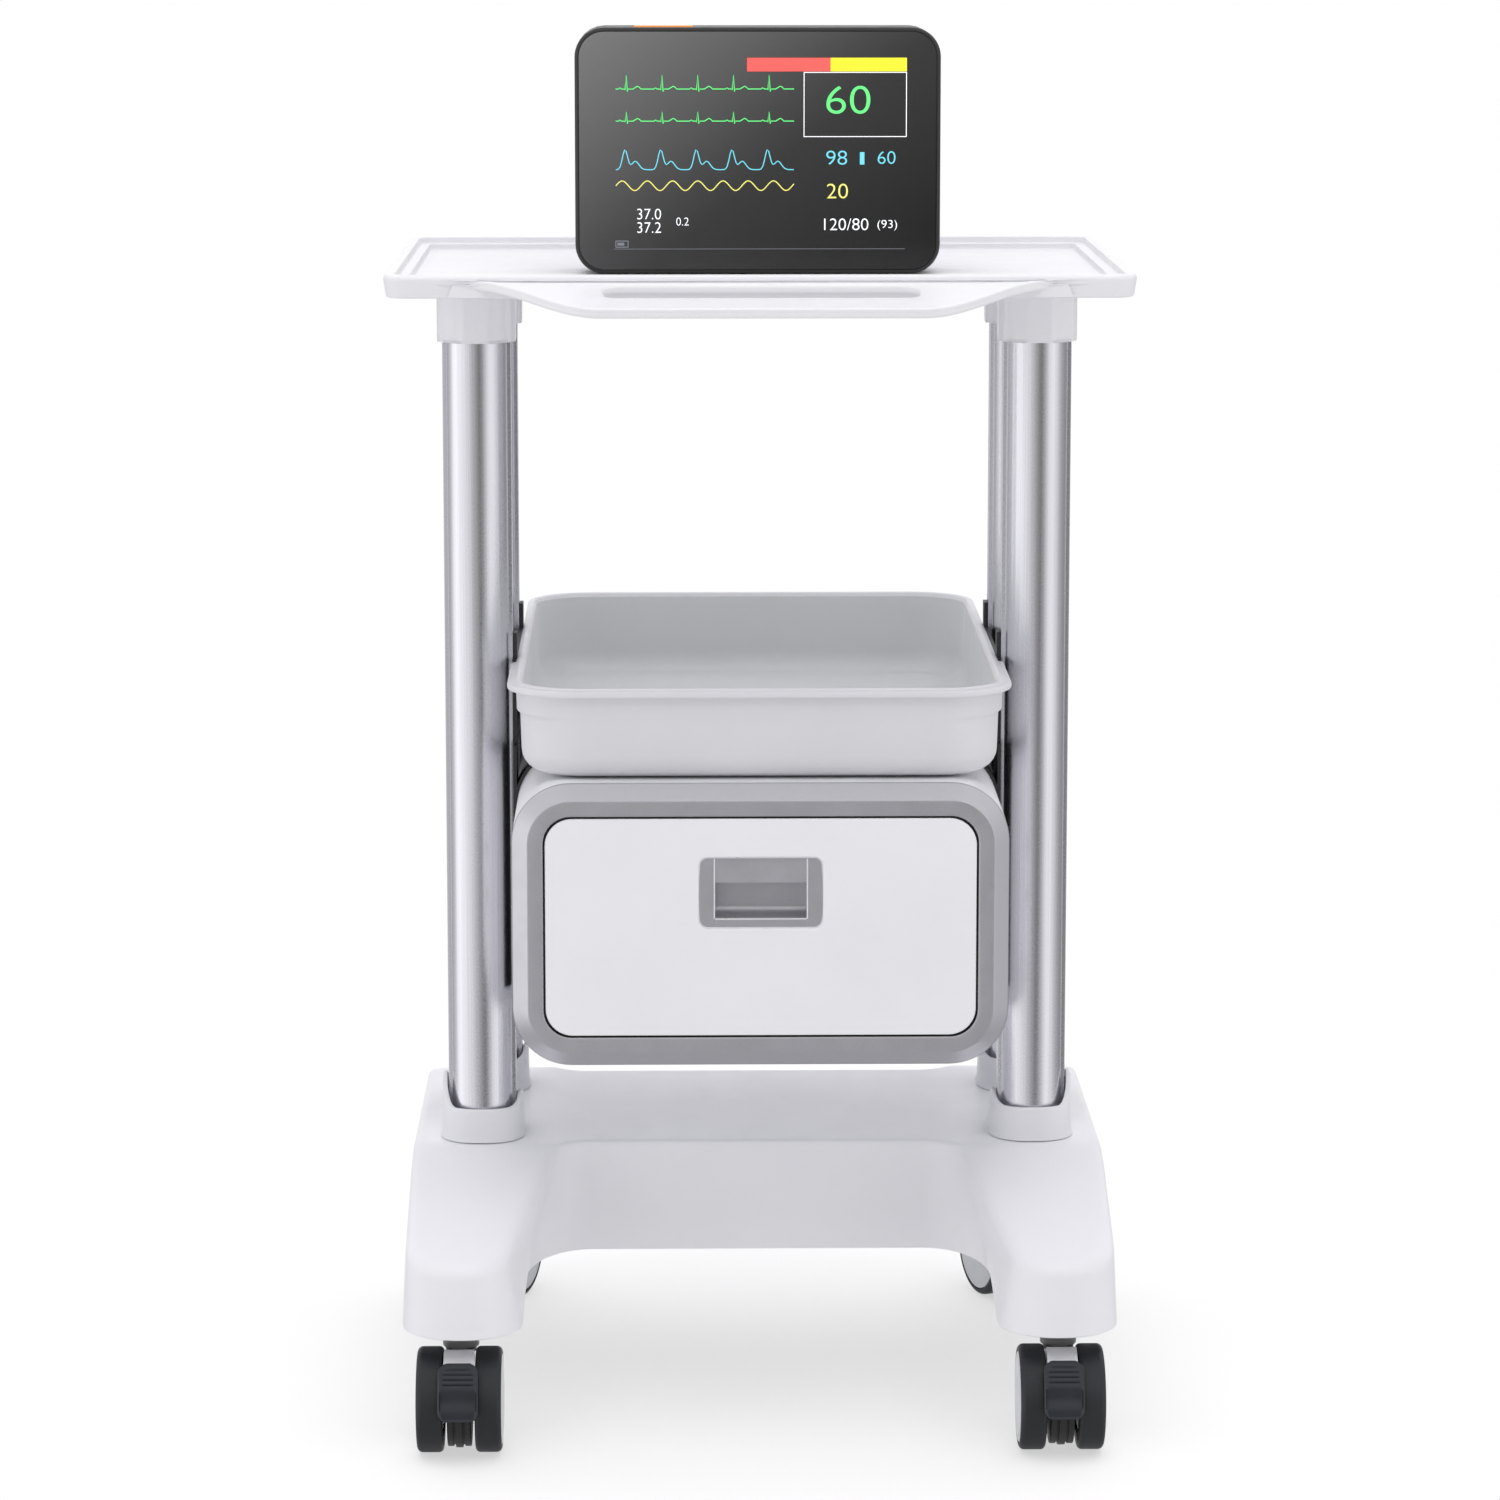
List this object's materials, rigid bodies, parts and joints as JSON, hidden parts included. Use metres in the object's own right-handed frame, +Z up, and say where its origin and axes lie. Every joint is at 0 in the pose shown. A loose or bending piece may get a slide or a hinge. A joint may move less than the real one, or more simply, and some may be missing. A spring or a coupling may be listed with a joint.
{
  "type": "crash cart",
  "caption": "Hospital crash cart: white moulded base on swivel casters, aluminium posts, open tray, drawer box, top shelf with handle slot and a patient monitor.",
  "frame": {"origin": "on the floor, under the middle of the whole cart's outer box", "axes": "+Z up, -Y towards the person who pushes the cart (drawer and handle side), +X to that person's right"},
  "size_m": [0.55, 0.585, 1.06],
  "materials": {
    "white_abs": "moulded white ABS, satin, very fine texture",
    "white_drawer": "moulded off-white panel, satin",
    "grey_abs": "moulded light grey ABS, satin",
    "silver_abs": "silver-grey painted plastic, satin with fine metallic grain",
    "aluminium": "satin anodised extrusion, drawn lengthwise",
    "steel": "zinc-plated steel, satin",
    "black_metal": "black powder coat",
    "case_plastic": "dark grey plastic, semi-gloss",
    "screen_glass": "black display glass, glossy",
    "lamp_amber": "amber lamp lens",
    "tyre": "charcoal polyurethane tread, satin",
    "pedal_plastic": "charcoal nylon, matt"
  },
  "bodies": {
    "cart": {"base_shell": "white_abs", "base_frame": "steel", "post_front_left": "aluminium", "post_front_right": "aluminium", "post_rear_left": "aluminium", "post_rear_right": "aluminium", "post_collar_bottom_front_left": "white_abs", "post_collar_bottom_front_right": "white_abs", "post_collar_bottom_rear_left": "white_abs", "post_collar_bottom_rear_right": "white_abs", "post_collar_top_front_left": "white_abs", "post_collar_top_front_right": "white_abs", "post_collar_top_rear_left": "white_abs", "post_collar_top_rear_right": "white_abs", "top_shelf": "white_abs", "shelf_handle": "white_abs", "tray": "grey_abs", "tray_bracket_left": "black_metal", "tray_bracket_right": "black_metal", "box_housing": "white_abs", "box_bracket_left": "black_metal", "box_bracket_right": "black_metal", "box_bezel": "silver_abs", "slide_outer_left": "steel", "slide_outer_right": "steel", "monitor_case": "case_plastic", "monitor_front": "case_plastic", "monitor_glass": "screen_glass", "alarm_lamp": "lamp_amber", "monitor_dock": "case_plastic", "caster_stem_front_left": "steel", "caster_stem_front_right": "steel", "caster_stem_rear_left": "steel", "caster_stem_rear_right": "steel"},
    "drawer": {"drawer_tub": "grey_abs", "drawer_front": "white_drawer", "drawer_pull": "silver_abs", "slide_inner_left": "steel", "slide_inner_right": "steel"},
    "slide_middles": {"slide_middle_left": "steel", "slide_middle_right": "steel"},
    "power_key": {"power_key": "case_plastic"},
    "caster_front_left": {"caster_fork_front_left": "silver_abs", "caster_axle_front_left": "steel"},
    "wheel_front_left_left": {"wheel_front_left_left": "tyre"},
    "wheel_front_left_right": {"wheel_front_left_right": "tyre"},
    "caster_front_right": {"caster_fork_front_right": "silver_abs", "caster_axle_front_right": "steel"},
    "wheel_front_right_left": {"wheel_front_right_left": "tyre"},
    "wheel_front_right_right": {"wheel_front_right_right": "tyre"},
    "caster_rear_left": {"caster_fork_rear_left": "silver_abs", "caster_axle_rear_left": "steel"},
    "wheel_rear_left_left": {"wheel_rear_left_left": "tyre"},
    "wheel_rear_left_right": {"wheel_rear_left_right": "tyre"},
    "caster_rear_right": {"caster_fork_rear_right": "silver_abs", "caster_axle_rear_right": "steel"},
    "wheel_rear_right_left": {"wheel_rear_right_left": "tyre"},
    "wheel_rear_right_right": {"wheel_rear_right_right": "tyre"},
    "brake_pedal_front_left": {"brake_pedal_front_left": "pedal_plastic"},
    "brake_pedal_front_right": {"brake_pedal_front_right": "pedal_plastic"}
  },
  "joints": [
    {"name": "drawer_slide", "type": "slide", "parent": "cart", "child": "drawer", "axis": [0, -1, 0], "range_m": [0, 0.28]},
    {"name": "slide_middle_travel", "type": "slide", "parent": "cart", "child": "slide_middles", "axis": [0, -1, 0], "range_m": [0, 0.14]},
    {"name": "power_key_press", "type": "slide", "parent": "cart", "child": "power_key", "axis": [-1, 0, 0], "range_m": [0, 0.0012], "stiffness_N_per_m": 200},
    {"name": "swivel_front_left", "type": "hinge", "parent": "cart", "child": "caster_front_left", "pos_m": [-0.2256, -0.19, 0.08], "axis": [0, 0, 1], "continuous": true},
    {"name": "roll_front_left_left", "type": "hinge", "parent": "caster_front_left", "child": "wheel_front_left_left", "pos_m": [-0.2476, -0.215, 0.0395], "axis": [1, 0, 0], "continuous": true},
    {"name": "roll_front_left_right", "type": "hinge", "parent": "caster_front_left", "child": "wheel_front_left_right", "pos_m": [-0.2036, -0.215, 0.0395], "axis": [1, 0, 0], "continuous": true},
    {"name": "swivel_front_right", "type": "hinge", "parent": "cart", "child": "caster_front_right", "pos_m": [0.2256, -0.19, 0.08], "axis": [0, 0, 1], "continuous": true},
    {"name": "roll_front_right_left", "type": "hinge", "parent": "caster_front_right", "child": "wheel_front_right_left", "pos_m": [0.2036, -0.215, 0.0395], "axis": [1, 0, 0], "continuous": true},
    {"name": "roll_front_right_right", "type": "hinge", "parent": "caster_front_right", "child": "wheel_front_right_right", "pos_m": [0.2476, -0.215, 0.0395], "axis": [1, 0, 0], "continuous": true},
    {"name": "swivel_rear_left", "type": "hinge", "parent": "cart", "child": "caster_rear_left", "pos_m": [-0.2256, 0.1845, 0.08], "axis": [0, 0, 1], "continuous": true},
    {"name": "roll_rear_left_left", "type": "hinge", "parent": "caster_rear_left", "child": "wheel_rear_left_left", "pos_m": [-0.19638, 0.20047, 0.0395], "axis": [-0.9397, 0.342, 0], "continuous": true},
    {"name": "roll_rear_left_right", "type": "hinge", "parent": "caster_rear_left", "child": "wheel_rear_left_right", "pos_m": [-0.23772, 0.21552, 0.0395], "axis": [-0.9397, 0.342, 0], "continuous": true},
    {"name": "swivel_rear_right", "type": "hinge", "parent": "cart", "child": "caster_rear_right", "pos_m": [0.2256, 0.1845, 0.08], "axis": [0, 0, 1], "continuous": true},
    {"name": "roll_rear_right_left", "type": "hinge", "parent": "caster_rear_right", "child": "wheel_rear_right_left", "pos_m": [0.23772, 0.21552, 0.0395], "axis": [-0.9397, -0.342, 0], "continuous": true},
    {"name": "roll_rear_right_right", "type": "hinge", "parent": "caster_rear_right", "child": "wheel_rear_right_right", "pos_m": [0.19638, 0.20047, 0.0395], "axis": [-0.9397, -0.342, 0], "continuous": true},
    {"name": "pedal_front_left", "type": "hinge", "parent": "caster_front_left", "child": "brake_pedal_front_left", "pos_m": [-0.2256, -0.2265, 0.0491], "axis": [1, 0, 0], "range_deg": [0, 10]},
    {"name": "pedal_front_right", "type": "hinge", "parent": "caster_front_right", "child": "brake_pedal_front_right", "pos_m": [0.2256, -0.2265, 0.0491], "axis": [1, 0, 0], "range_deg": [0, 10]}
  ],
  "couplings": [
    {"joint": "slide_middle_travel", "follows": "drawer_slide", "ratio": 0.5}
  ]
}
